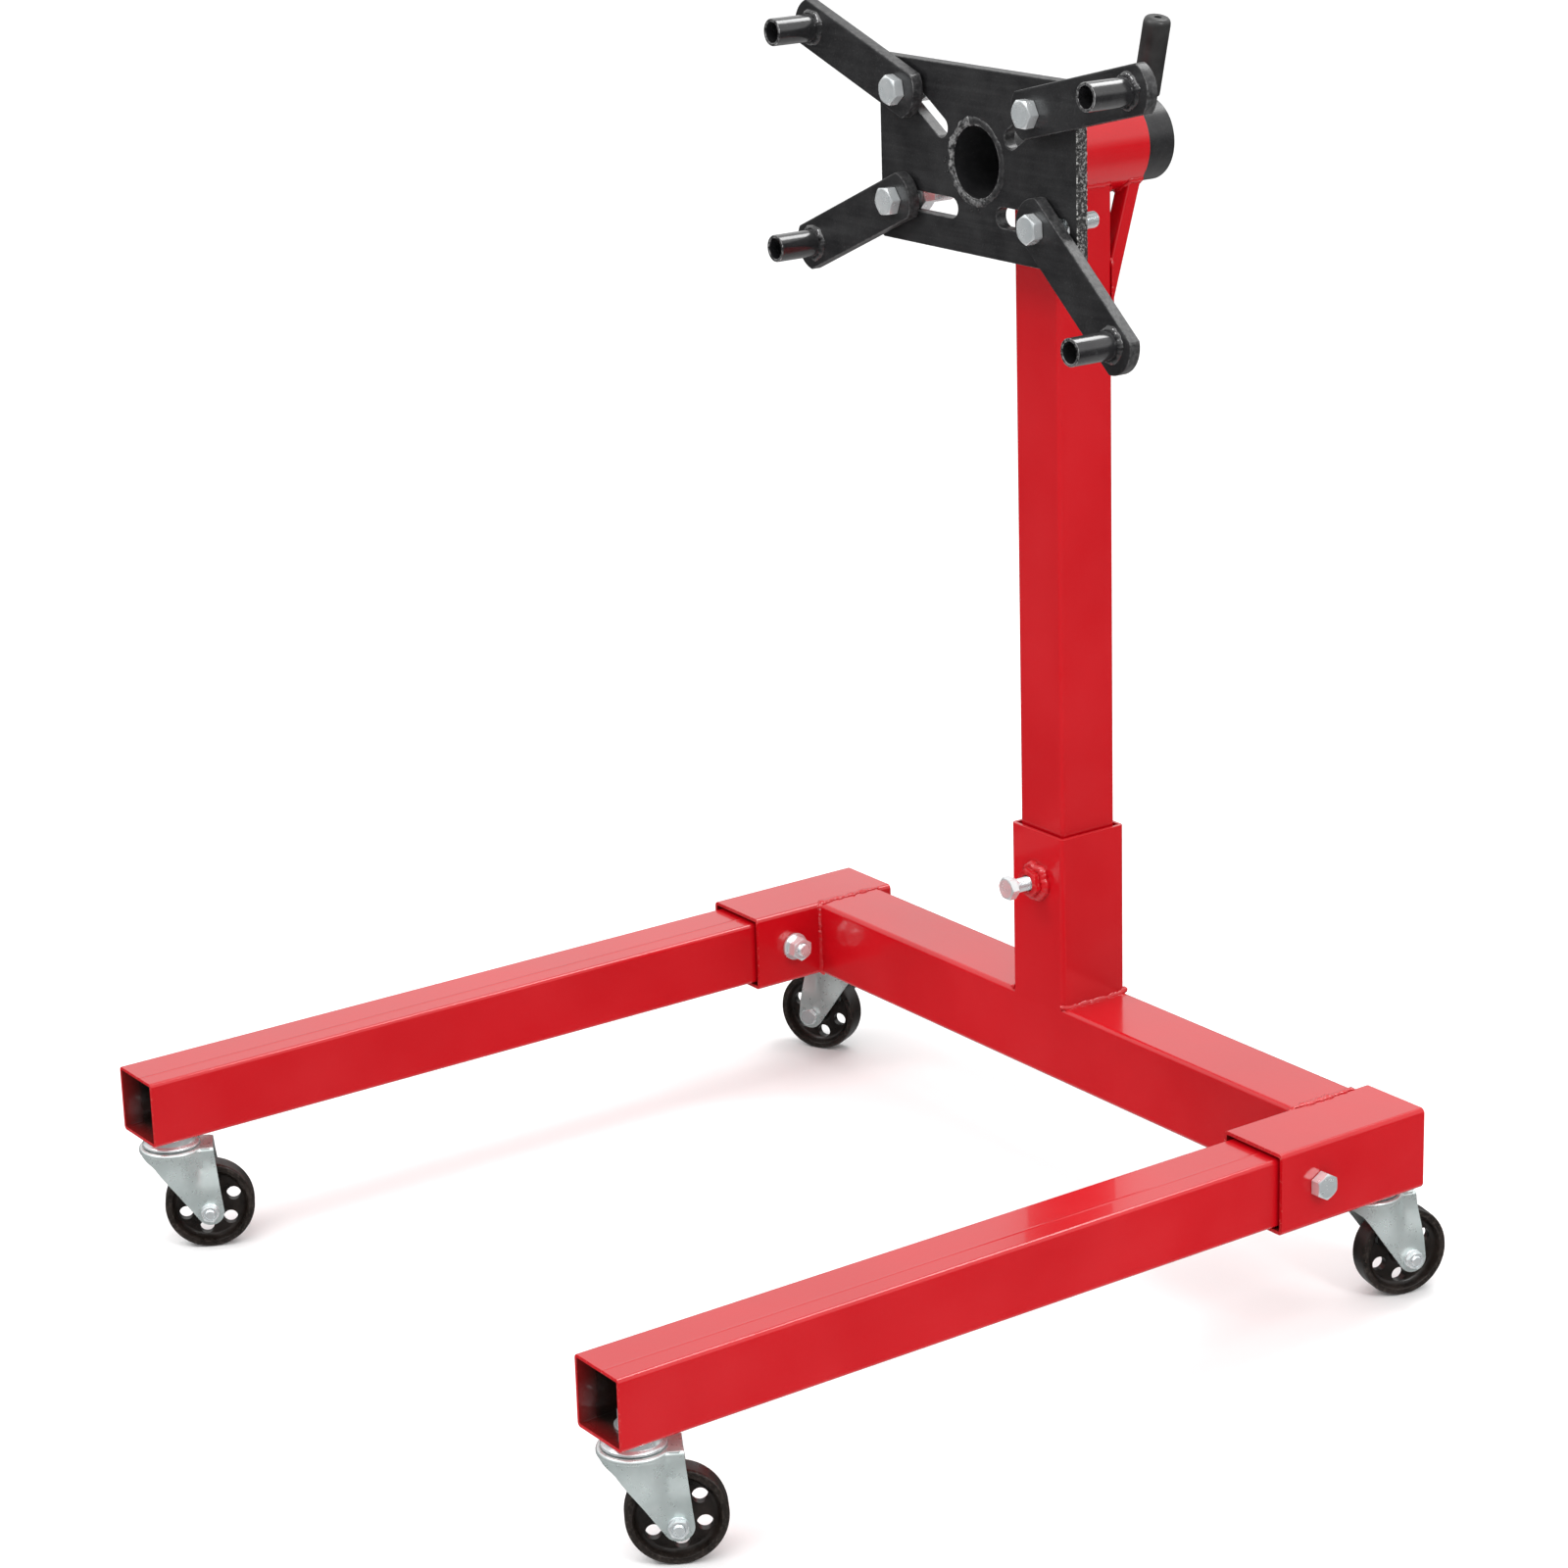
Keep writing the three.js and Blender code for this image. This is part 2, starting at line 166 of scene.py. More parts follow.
def square_ring(size, r, steps, sides=1, seam=None):
    """Rounded square in x and y, anticlockwise.

    steps divides each corner, and sides divides each side. seam lifts a thin line on the +y
    side at that x.
    """
    h = size / 2
    pts = []
    corners = [(h - r, h - r), (-h + r, h - r), (-h + r, -h + r), (h - r, -h + r)]
    for q, (cx, cy) in enumerate(corners):
        for i in range(steps + 1):
            a = (q + i / steps) * math.pi / 2
            pts.append((cx + r * math.cos(a), cy + r * math.sin(a)))
        nx, ny = [(-h + r, h), (-h, -h + r), (h - r, -h), (h, h - r)][q]
        px, py = pts[-1]
        extra = [(px + (nx - px) * i / sides, py + (ny - py) * i / sides) for i in range(1, sides)]
        if q == 0:
            middle = seam or 0
            extra = [e for e in extra if abs(e[0] - middle) > SEAM_ROOM]
            extra += [(middle + dx, py + (0 if seam is None else lift)) for dx, lift in SEAM_RIDGE]
            extra.sort(reverse=True)
        pts += extra
    return np.array(pts)


def square_tube(size, wall, r, z0, z1, seam=None, sides=1, top=None):
    """Square tube along z with softened ends.

    top(x), if given, says how high the upper end goes at that x.
    """
    c = 0.5  # softening of the ends
    mouth = 16.0  # paint reaches this far inside; from the lip on, the inside is darkened as bare steel and as painted shade
    corner_steps, least_r = 8, 0.8
    levels = [  # inset, height, wear, inner
        (0, z0 + c, 0.02, 0), (0, z1 - c, 0.02, 0), (c * 0.35, z1 - c * 0.3, 1, 0), (c, z1, 0.7, 0),
        (wall - c * 0.6, z1, 0.7, 0), (wall, z1 - c, 0.5, 0.6), (wall, z1 - mouth, 0, 1),
        (wall, z0 + mouth, 0, 1), (wall, z0 + c, 0.5, 0.6), (wall - c * 0.6, z0, 0.7, 0),
        (c, z0, 0.7, 0), (c * 0.35, z0 + c * 0.3, 1, 0)]
    rings = []
    for inset, z, _, _ in levels:
        line = seam if inset < c else None
        p = square_ring(size - 2 * inset, max(r - inset, least_r), corner_steps, sides, line)
        zz = np.full(len(p), float(z))
        if top is not None and z > z1 - 2 * c:
            zz = np.array([top(x) for x, _ in p]) + (z - z1)
        rings.append(np.column_stack([p, zz]))
    return loft(rings, True, [a[2] for a in levels], [a[3] for a in levels])


def offset_loop(p, d):
    """A closed loop of (x, y) moved inwards by d, where the loop runs anticlockwise."""
    p = np.asarray(p, float)
    e = np.roll(p, -1, 0) - p
    e /= np.linalg.norm(e, axis=1)[:, None]
    n = np.stack([-e[:, 1], e[:, 0]], 1)
    m = n + np.roll(n, 1, 0)
    sharpest = 0.35  # keeps the miter of a sharp corner short
    m /= np.maximum((m * m).sum(1) / 2, sharpest)[:, None]
    return p + m * d


def slab(loops, z0, z1, soft=0.6, worn=1.0):
    """Flat plate between z0 and z1, with softened arrises.

    The first loop is the outline, anticlockwise, and the rest are holes, clockwise.
    """
    s, c = soft, soft * 0.3
    levels = [(s, z0, 0.0), (c, z0 + c, worn), (0, z0 + s, 0.1),
              (0, z1 - s, 0.1), (c, z1 - c, worn), (s, z1, 0.0)]
    v, f, w, caps = [], [], [], []
    base = 0
    for loop in loops:
        n = len(loop)
        for k, (d, z, a) in enumerate(levels):
            q = offset_loop(loop, d)
            v.append(np.column_stack([q, np.full(n, z)]))
            w += [a] * n
            if k:
                low, high = base + (k - 1) * n, base + k * n
                for j in range(n):
                    j2 = (j + 1) % n
                    f.append((low + j, low + j2, high + j2, high + j))
        caps.append((base, base + (len(levels) - 1) * n, n))
        base += n * len(levels)
    v = np.vstack(v)
    for top in (False, True):
        index, polys = [], []
        for first, last, n in caps:
            ids = [(last if top else first) + j for j in range(n)]
            index += ids
            polys.append([Vector((v[i][0], v[i][1], 0)) for i in ids])
        for t in tessellate_polygon(polys):
            a, b, c = (index[i] for i in t)
            ab, ac = v[b] - v[a], v[c] - v[a]
            area = ab[0] * ac[1] - ab[1] * ac[0]
            if abs(area) > 1e-12:
                f.append((a, b, c) if (area > 0) == top else (a, c, b))
    return Geo(v, f, w)


def arc(cx, cy, r, a0, a1, n):
    angles = [a0 + (a1 - a0) * i / n for i in range(n + 1)]
    return [(cx + r * math.cos(a), cy + r * math.sin(a)) for a in angles]


def hole(cx, cy, r, n=32):
    return arc(cx, cy, r, 0, -TURN * (1 - 1 / n), n - 1)


def hexagon(af, z0, z1, bore=None, low=True, high=True, cut=0.94, phase=0.0):
    """Hexagonal head or nut along z, af across its flats.

    low and high say which end has the turned chamfer, where its flat is cut times af across.
    The other end is only eased. Without a bore, the face at z1 is sunk a little.
    """
    segs, ease, sunk, mouth = 60, 0.3, 0.12, 0.7
    a = np.arange(segs) * TURN / segs
    side = (a - phase + math.pi / 6) % (math.pi / 3) - math.pi / 6
    r_hex = af / 2 / np.cos(side)
    rc = af / 2 * cut
    drop = (r_hex - rc) * math.tan(math.radians(28))
    ring = lambda r, z: np.stack([r * np.cos(a), r * np.sin(a), np.zeros(segs) + z], 1)
    rows = [ring(rc if low else r_hex - ease, z0), ring(r_hex, z0 + (drop if low else 0.25)),
            ring(r_hex, z1 - (drop if high else 0.25)), ring(rc if high else r_hex - ease, z1)]
    wear = [0.4, 1, 1, 0.4]
    if bore is None:
        rows += [ring(rc * 0.86, z1), ring(rc * 0.8, z1 - sunk), ring(rc * 0.3, z1 - sunk)]
        return loft(rows, False, wear + [0.3, 0, 0])
    rows += [ring(bore + mouth, z1), ring(bore, z1 - mouth),
             ring(bore, z0 + mouth), ring(bore + mouth, z0)]
    return loft(rows, True, wear + [0.3, 0, 0, 0.3])


def threaded(r, z0, z1, pitch=1.75, plain=0.0, segs=28, tip=1.2):
    """Screw shank from z0 to z1: plain for the first length, then a cut thread.

    The last tip before z1 is chamfered.
    """
    depth, rows_per_turn, lead = 0.54 * pitch, 7, 0.2
    before = [z0, z0 + plain - lead] if plain > 1 else [z0]
    z = np.r_[before, np.arange(z0 + max(plain, lead), z1 - 0.05, pitch / rows_per_turn), [z1]]
    a = np.arange(segs) * TURN / segs
    rings = []
    for q in z:
        phase = (q / pitch - a / TURN) % 1.0
        tooth = np.clip(np.abs(phase * 2 - 1) * 1.25 - 0.12, 0, 1)
        rr = r - depth * tooth if q >= z0 + plain - 1e-6 else np.full(segs, r)
        rr = np.minimum(rr, r - depth - 0.2 + (z1 - q) if q > z1 - tip else rr)
        rings.append(np.stack([rr * np.cos(a), rr * np.sin(a), np.full(segs, q)], 1))
    return loft(rings)


def bead(path, up, width, height, seed, closed=False, ripple=2.6, rough=0.22, worn=0.0):
    """Weld bead: an oval section carried along path, with stacked ripples and uneven width.

    up is the way it stands proud. ripple is the length of one ripple.
    """
    segs, step = 12, 0.75
    off = random.Random(seed).random() * 50
    p = np.asarray(path, float)
    u = np.asarray(up, float) * np.ones_like(p)
    if closed:
        p, u = np.vstack([p, p[:1]]), np.vstack([u, u[:1]])
    s = np.r_[0, np.cumsum(np.linalg.norm(np.diff(p, axis=0), axis=1))]
    n = max(8, int(s[-1] / step))
    t = np.linspace(0, s[-1], n + 1)[: n if closed else n + 1]
    q = np.stack([np.interp(t, s, p[:, k]) for k in range(3)], 1)
    w = np.stack([np.interp(t, s, u[:, k]) for k in range(3)], 1)
    w /= np.linalg.norm(w, axis=1)[:, None]
    d = np.roll(q, -1, 0) - np.roll(q, 1, 0)
    if not closed:
        d[0], d[-1] = q[1] - q[0], q[-1] - q[-2]
    d /= np.linalg.norm(d, axis=1)[:, None]
    side = np.cross(d, w)
    side /= np.linalg.norm(side, axis=1)[:, None]
    w = np.cross(side, d)
    a = np.arange(segs) * TURN / segs
    rings = []
    for i in range(len(q)):
        where = Vector(q[i]) * 0.05 + Vector((0, 0, off))
        lump = 1 + rough * 1.6 * noise.noise(where * 3.1) + rough * noise.noise(where * 9.0)
        saw = 0.5 + 0.5 * math.cos(TURN * t[i] / ripple + 1.5 * noise.noise(where * 5))
        grow = lump * (0.94 + 0.08 * saw)
        sway = 0.25 * width * noise.noise(where * 4 + Vector((7, 3, 1)))
        to_end = min(t[i], s[-1] - t[i]) / (0.5 * width)
        taper = 1.0 if closed else min(1.0, math.sqrt(max(0.02, to_end)))
        rings.append(q[i] + side[i] * (np.cos(a)[:, None] * width / 2 * grow * taper + sway)
                     + w[i] * np.sin(a)[:, None] * height * grow * taper)
    return loft(rings, closed, [worn] * len(rings))


def bored(a, b):
    """a cut by b, as a new Geo, by Blender's exact solver."""
    pair = [raw_object("tmp_bool", g) for g in (a, b)]
    m = pair[0].modifiers.new("cut", "BOOLEAN")
    m.operation, m.object, m.solver = "DIFFERENCE", pair[1], "EXACT"
    e = pair[0].evaluated_get(bpy.context.evaluated_depsgraph_get())
    me = e.to_mesh()
    out = Geo([v.co for v in me.vertices], [tuple(p.vertices) for p in me.polygons])
    e.to_mesh_clear()
    for o in pair:
        d = o.data
        bpy.data.objects.remove(o)
        bpy.data.meshes.remove(d)
    return out


def raw_object(name, g):
    me = bpy.data.meshes.new(name)
    me.from_pydata(g.v.tolist(), [], g.f)
    me.update()
    o = bpy.data.objects.new(name, me)
    bpy.context.scene.collection.objects.link(o)
    bpy.context.view_layer.update()
    return o


SHARP, BEVEL_FROM = math.radians(38), math.radians(40)


def piece(name, cad_node, g, material, bevel=None):
    """Puts a finished piece in the scene in metres, in place of its CAD node, on that node's body."""
    g = Geo(g.v * MM + ORIGIN, g.f, g.wear, g.inner)
    o = raw_object(name, g)
    me = o.data
    for key, values in (("wear", g.wear), ("inner", g.inner)):
        me.attributes.new(key, "FLOAT", "POINT").data.foreach_set("value", values.astype(np.float32))
    me.materials.append(material)
    me.shade_smooth()
    me.set_sharp_from_angle(angle=SHARP)
    if bevel:
        m = o.modifiers.new("soft_edges", "BEVEL")
        m.width, m.segments, m.limit_method, m.angle_limit = bevel * MM, 2, "ANGLE", BEVEL_FROM
    m = o.modifiers.new("even_normals", "WEIGHTED_NORMAL")
    m.keep_sharp = True
    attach(o, BODY[cad_node])
    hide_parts(cad_node)
    return o


# ---------------------------------------------------------------- materials
def node(tree, kind, inputs=None, **props):
    n = tree.nodes.new(kind)
    for k, v in props.items():
        setattr(n, k, v)
    for k, v in (inputs or {}).items():
        s = n.inputs[k]
        if isinstance(v, bpy.types.NodeSocket):
            tree.links.new(v, s)
        else:
            s.default_value = v
    return n


def ramp(tree, fac, *stops):
    """Colour ramp over stops of (position, (r, g, b))."""
    n = node(tree, "ShaderNodeValToRGB", {"Fac": fac})
    e = n.color_ramp.elements
    while len(e) < len(stops):
        e.new(0.5)
    for el, (p, c) in zip(e, stops):
        el.position, el.color = p, (*c, 1)
    return n.outputs["Color"]


def grey(x):
    return (x, x, x)


def mix(tree, fac, a, b):
    """Colour socket a, covered by b where the socket fac is 1. b is a socket or (r, g, b)."""
    colour_b = b if isinstance(b, bpy.types.NodeSocket) else (*b, 1)
    n = node(tree, "ShaderNodeMix", data_type="RGBA")
    for sock, v in ((n.inputs[0], fac), (n.inputs[6], a), (n.inputs[7], colour_b)):
        if isinstance(v, bpy.types.NodeSocket):
            tree.links.new(v, sock)
        else:
            sock.default_value = v
    return n.outputs[2]


def span(tree, value, low, high):
    """value, which mostly runs from 0.3 to 0.7, stretched from low to high."""
    i = {"Value": value, "From Min": 0.3, "From Max": 0.7, "To Min": low, "To Max": high}
    return node(tree, "ShaderNodeMapRange", i).outputs["Result"]


def times(tree, a, b):
    return node(tree, "ShaderNodeMath", {0: a, 1: b}, operation="MULTIPLY").outputs[0]


def start(name):
    m = bpy.data.materials.new(name)
    m.use_nodes = True
    t = m.node_tree
    t.nodes.clear()
    at = node(t, "ShaderNodeTexCoord").outputs["Object"]
    return m, t, at


def noise_of(t, at, scale, detail=2.0, rough=0.5, distort=0.0):
    i = {"Vector": at, "Scale": scale, "Detail": detail, "Roughness": rough, "Distortion": distort}
    return node(t, "ShaderNodeTexNoise", i).outputs["Fac"]


def bump(t, height, strength, distance, normal=None):
    i = {"Height": height, "Strength": strength, "Distance": distance}
    if normal is not None:
        i["Normal"] = normal
    return node(t, "ShaderNodeBump", i).outputs["Normal"]


def end(m, t, **sockets):
    b = node(t, "ShaderNodeBsdfPrincipled", {k.replace("_", " "): v for k, v in sockets.items()})
    node(t, "ShaderNodeOutputMaterial", {"Surface": b.outputs["BSDF"]})
    return m


def attribute(t, name):
    return node(t, "ShaderNodeAttribute", attribute_name=name).outputs["Fac"]


def red_paint():
    """Glossy powder coat, dark and rusty where the inner attribute says it is inside a tube: bare steel, and also
    painted shade darkening the tube's mouth.
    """
    m, t, at = start("red_powder_coat")
    cloud = noise_of(t, at, 7.0, 3.0)
    colour = ramp(t, cloud, (0.3, (0.43, 0.0014, 0.0052)), (0.7, (0.50, 0.0030, 0.0080)))
    # thinner, dustier paint on the arrises, and small chips
    chips = ramp(t, noise_of(t, at, 420.0, 3.0, 0.65), (0.56, grey(0)), (0.70, grey(1)))
    edge = times(t, attribute(t, "wear"), times(t, chips, 0.55))
    colour = mix(t, edge, colour, (0.60, 0.16, 0.13))
    # inside the tubes the colour goes dark brown: bare rusty steel, and painted shade in the mouths of the tubes
    inner = attribute(t, "inner")
    patch = noise_of(t, at, 60.0, 4.0)
    bare_steel_and_shade = ramp(t, patch, (0.3, (0.012, 0.009, 0.008)), (0.8, (0.040, 0.018, 0.015)))
    colour = mix(t, inner, colour, bare_steel_and_shade)
    peel = noise_of(t, at, 430.0, 2.0)
    wave = noise_of(t, at, 26.0, 1.0)
    normal = bump(t, peel, 0.07, 0.0003, bump(t, wave, 0.03, 0.0025))
    rough = span(t, noise_of(t, at, 14.0, 4.0), 0.17, 0.25)
    return end(m, t, Base_Color=colour, Roughness=rough, Normal=normal,
               Coat_Weight=0.5, Coat_Roughness=0.05, IOR=1.5)


def black_paint(name, r0, r1, coat):
    """Powder coat with faint rolling marks, pale specks and scuffed arrises. The same pale grey, set by wear, paints
    glints on the head's weld runs: a painted highlight.
    """
    m, t, at = start(name)
    cloud = noise_of(t, at, 38.0, 5.0, 0.6)
    speck = ramp(t, noise_of(t, at, 900.0, 2.0), (0.62, grey(0)), (0.74, grey(1)))
    colour = ramp(t, cloud, (0.30, (0.008, 0.008, 0.009)), (0.72, (0.017, 0.017, 0.018)))
    drawn_out = node(t, "ShaderNodeMapping", {"Vector": at, "Scale": (0.05, 1.0, 1.0)})
    marks = noise_of(t, drawn_out.outputs["Vector"], 260.0, 3.0, 0.6)
    grain = ramp(t, marks, (0.45, grey(0)), (0.75, grey(1)))
    colour = mix(t, times(t, grain, 0.35), colour, (0.034, 0.034, 0.035))
    colour = mix(t, times(t, speck, 0.25), colour, (0.12, 0.12, 0.12))
    # pale grey where wear is set: scuffed paint on arrises, and painted highlight glints on the head's weld runs
    scuff = ramp(t, noise_of(t, at, 260.0, 4.0, 0.7), (0.42, grey(0)), (0.62, grey(1)))
    edge = times(t, attribute(t, "wear"), scuff)
    colour = mix(t, edge, colour, (0.34, 0.34, 0.34))
    peel = noise_of(t, at, 520.0, 3.0, 0.6)
    pit = noise_of(t, at, 120.0, 3.0)
    normal = bump(t, peel, 0.22, 0.0004, bump(t, pit, 0.12, 0.001))
    rough = span(t, cloud, r0, r1)
    return end(m, t, Base_Color=colour, Roughness=rough, Normal=normal, IOR=1.5,
               Coat_Weight=coat, Coat_Roughness=0.2)


def flame_cut():
    """Black paint over a torch-cut edge: drag lines across the thickness and bright specks on the arris."""
    m, t, at = start("black_flame_cut")
    stretch = node(t, "ShaderNodeMapping", {"Vector": at, "Scale": (1.0, 0.30, 1.0)}).outputs["Vector"]
    drag = noise_of(t, stretch, 620.0, 5.0, 0.75, 0.4)
    colour = ramp(t, drag, (0.45, grey(0.005)), (0.60, grey(0.030)), (0.72, grey(0.30)))
    speck = ramp(t, noise_of(t, at, 480.0, 4.0, 0.75), (0.52, grey(0)), (0.58, grey(1)))
    colour = mix(t, times(t, attribute(t, "wear"), speck), colour, (0.72, 0.72, 0.70))
    rough = span(t, drag, 0.40, 0.70)
    return end(m, t, Base_Color=colour, Roughness=rough,
               Normal=bump(t, drag, 0.8, 0.0012), IOR=1.5)


def zinc(name, tint_a, tint_b, r0, r1, grain):
    """Bright zinc plate between two tints, with bright arrises. grain is the strength of its bump."""
    m, t, at = start(name)
    cloud = noise_of(t, at, 55.0, 4.0, 0.6, 0.3)
    colour = ramp(t, cloud, (0.3, tint_a), (0.72, tint_b))
    edge = times(t, attribute(t, "wear"), 0.35)
    colour = mix(t, edge, colour, (0.90, 0.91, 0.92))
    scratch = noise_of(t, at, 700.0, 3.0, 0.6)
    rough = span(t, noise_of(t, at, 160.0, 4.0, 0.65), r0, r1)
    return end(m, t, Base_Color=colour, Roughness=rough, Metallic=0.68,
               Normal=bump(t, scratch, grain, 0.0003), IOR=1.5)


def cast_wheel():
    m, t, at = start("wheel_black")
    cloud = noise_of(t, at, 90.0, 5.0, 0.65)
    colour = ramp(t, cloud, (0.3, (0.0050, 0.0038, 0.0030)), (0.75, (0.022, 0.015, 0.012)))
    scuff = ramp(t, noise_of(t, at, 500.0, 4.0, 0.75), (0.52, grey(0)), (0.64, grey(1)))
    colour = mix(t, times(t, attribute(t, "wear"), times(t, scuff, 0.18)), colour, (0.22, 0.18, 0.15))
    skin = noise_of(t, at, 330.0, 4.0, 0.6)
    return end(m, t, Base_Color=colour, Roughness=span(t, cloud, 0.24, 0.42),
               Normal=bump(t, skin, 0.22, 0.0005), IOR=1.45)


def dipped_vinyl():
    m, t, at = start("grip_black")
    cloud = noise_of(t, at, 70.0, 3.0)
    colour = ramp(t, cloud, (0.3, grey(0.013)), (0.75, grey(0.028)))
    colour = mix(t, times(t, attribute(t, "wear"), 0.3), colour, grey(0.06))
    return end(m, t, Base_Color=colour, Roughness=span(t, cloud, 0.30, 0.44),
               Normal=bump(t, noise_of(t, at, 380.0, 3.0), 0.18, 0.0004), IOR=1.5)


RED = red_paint()
BLACK = black_paint("black_powder_coat", 0.30, 0.46, 0.15)
BLACK_GLOSS = black_paint("black_powder_coat_gloss", 0.12, 0.22, 0.9)
CUT = flame_cut()
ZINC = zinc("zinc_plate", (0.68, 0.74, 0.76), (0.92, 0.95, 0.96), 0.15, 0.30, 0.12)
STAMPED = zinc("zinc_stamped", (0.60, 0.68, 0.67), (0.72, 0.79, 0.78), 0.24, 0.38, 0.04)
WHEEL = cast_wheel()
GRIP = dipped_vinyl()

# ---------------------------------------------------------------- base
SLEEVE, SLEEVE_WALL, SLEEVE_R = 60.0, 3, 3.8
LEG, LEG_WALL, LEG_R = 50.0, 2.5, 3.2
MID_Z = 117.0  # height of the middle of the base tubes
SPREAD = 310.0  # from the middle to the middle line of a leg
SLEEVE_FRONT, SLEEVE_BACK = -91.0, 42.0
LEG_FRONT, LEG_BACK = -628.0, 0.0
LEG_SEAM, LEG_BOLT_Y = 7.0, -56.0
H = SLEEVE / 2
TOP_Z = MID_Z + H


def sleeve_tube(z0, z1):
    return square_tube(SLEEVE, SLEEVE_WALL, SLEEVE_R, z0, z1)


bar = sleeve_tube(-SPREAD + H - 0.6, SPREAD - H + 0.6).mapped(ALONG_X).moved(z=MID_Z)


def joint_weld(s):
    """Bead round the cross tube where it meets the sleeve on side s."""
    ring = square_ring(SLEEVE + 0.6, 4, 6, 6)
    # above and below, it lies in the valley of the sleeve's rounded edge
    flat = np.abs(ring[:, 1]) > H - 1
    at_x = np.where(flat, s * (SPREAD - H + 1.4), s * (SPREAD - H - 0.4))
    path = np.column_stack([at_x, ring[:, 0], ring[:, 1] + MID_Z])
    out = np.column_stack([np.where(flat, 0, -s * 0.6), ring[:, 0] / H, ring[:, 1] / H])
    big = np.abs(out[:, 1:]).max(1) > 0.97
    out[:, 1:] = np.where(np.abs(out[:, 1:]) > 0.97, out[:, 1:], 0)
    out[~big, 1:] = ring[~big] / H
    return bead(path, out, 5.4, 1.1, 11 + s, closed=True, ripple=3.2, rough=0.38)


piece("cross_tube", "crossbar", bar + joint_weld(-1) + joint_weld(1), RED)

for side, s in (("left", -1), ("right", 1)):
    x = s * SPREAD
    g = sleeve_tube(SLEEVE_FRONT, SLEEVE_BACK).mapped(ALONG_Y)
    piece(side + "_sleeve", side + "_leg_socket", g.moved(x, 0, MID_Z), RED)
    g = square_tube(LEG, LEG_WALL, LEG_R, LEG_FRONT, LEG_BACK, seam=LEG_SEAM)
    g = g.mapped(ALONG_Y_SEAM_UP)
    piece(side + "_leg_tube", side + "_leg", g.moved(x, 0, MID_Z), RED)

    # the bolt's head is on the outer side of the sleeve, and its washer and nut on the inner
    out = H + 0.3
    place = lambda g: g.mapped(ALONG_X if s > 0 else ALONG_NEG_X).moved(x, LEG_BOLT_Y, MID_Z)
    head = hexagon(17, out, out + 8, low=False)
    shank = threaded(5.2, -out - 0.5, out + 14.5, 1.5, plain=30).mapped(BACKWARDS)
    washer = ring_tube(11, 5.6, -out - 2.2, -out, 48, 0.4)
    nut = hexagon(16.5, -out - 12, -out - 2.3, bore=5, phase=0.1)
    for part, g in (("bolt", head + shank), ("washer", washer), ("nut", nut)):
        piece(side + "_socket_" + part, side + "_leg_" + part, place(g), ZINC)

# socket for the upright, its front and back faces flush with the cross tube
SOCKET_TOP, CLAMP_Z, SCREW_HOLE = 280.0, 241.0, 6.6
g = sleeve_tube(TOP_Z - 0.6, SOCKET_TOP)
g = bored(g, lathe([(SCREW_HOLE, 10), (SCREW_HOLE, 60)], 32).mapped(ALONG_NEG_Y).moved(z=CLAMP_Z))
# its inside gets the dark inner colour: bare steel and painted shade
inside = np.abs(g.v[:, :2]).max(1) < H - 2.9
inside &= (g.v[:, 2] < SOCKET_TOP - 20) & (g.v[:, 2] != CLAMP_Z)
g.wear, g.inner = np.zeros(len(g.v)), np.where(inside, 1.0, 0.0)
# fillet welds along the sides of its foot, curled over at their ends
for s in (-1, 1):
    curl = [(s * (H - 2.2), -H - 0.1, TOP_Z + 3.4), (s * (H - 0.4), -H - 0.1, TOP_Z + 2.0),
            (s * (H + 0.5), -H + 2, TOP_Z + 0.4)]
    straight = [(s * (H + 0.5), y, TOP_Z + 0.3) for y in np.linspace(-H + 5, H - 5, 12)]
    pts = curl + straight + [(x, -y, z) for x, y, z in curl[::-1]]
    g = g + bead(pts, (s * 1.0, 0, 1.0), 4.2, 1.5, 31 + s, ripple=3.0, rough=0.30)
# the rounded edge of the cross tube is filled up flush between the curls
for s in (-1, 1):
    section = ((H - 6, TOP_Z - 0.2), (H - 6, TOP_Z + 1.5), (H - 0.05, TOP_Z + 1.5), (H - 0.05, TOP_Z - 3.6))
    fill = [(x, s * y, z) for x in (-H + 2, H - 2) for y, z in section]
    f = [(0, 1, 2, 3), (7, 6, 5, 4), (0, 4, 5, 1), (1, 5, 6, 2), (2, 6, 7, 3), (3, 7, 4, 0)]
    g = g + Geo(fill, f if s < 0 else [q[::-1] for q in f])
piece("socket_post", "post_socket", g, RED)


def round_path(n, r, lift):
    """n points of a circle of radius r, all at z = lift, or a way out that leans by r over lift."""
    a = np.linspace(0, TURN, n, endpoint=False)
    return np.stack([r * np.cos(a), r * np.sin(a), np.full(n, lift)], 1)


nut = hexagon(20, H + 0.1, H + 9.6, bore=5.9, low=False, cut=0.9, phase=0.25)
ring = bead(round_path(60, 11.6, H + 1.0), round_path(60, 0.35, 1.0), 8.0, 4.2, 5,
            closed=True, ripple=3.0, rough=0.07)
piece("clamp_boss", "clamp_nut", (nut + ring).mapped(ALONG_NEG_Y).moved(z=CLAMP_Z), RED)
head = hexagon(16, H + 23, H + 29.5, low=False, phase=0.5)
collar = lathe([(0, H + 21.4), (6.9, H + 21.4), (7.4, H + 21.9), (7.4, H + 22.7), (6.8, H + 23.1),
                (0, H + 23.1)], 40)
g = head + (threaded(5.3, 25.5, H + 24.0, 1.5, tip=0.3) + collar)
piece("clamp_screw_bolt", "clamp_bolt", g.mapped(ALONG_NEG_Y).moved(z=CLAMP_Z), ZINC)

# ---------------------------------------------------------------- upright
HEAD_Z = 783.0  # height of the turning axis
TUBE_R = 34.5


def saddle(x):
    """Height of the underside of the bearing tube at x."""
    return HEAD_Z - math.sqrt((TUBE_R - 0.8) ** 2 - min(x * x, 26 ** 2))


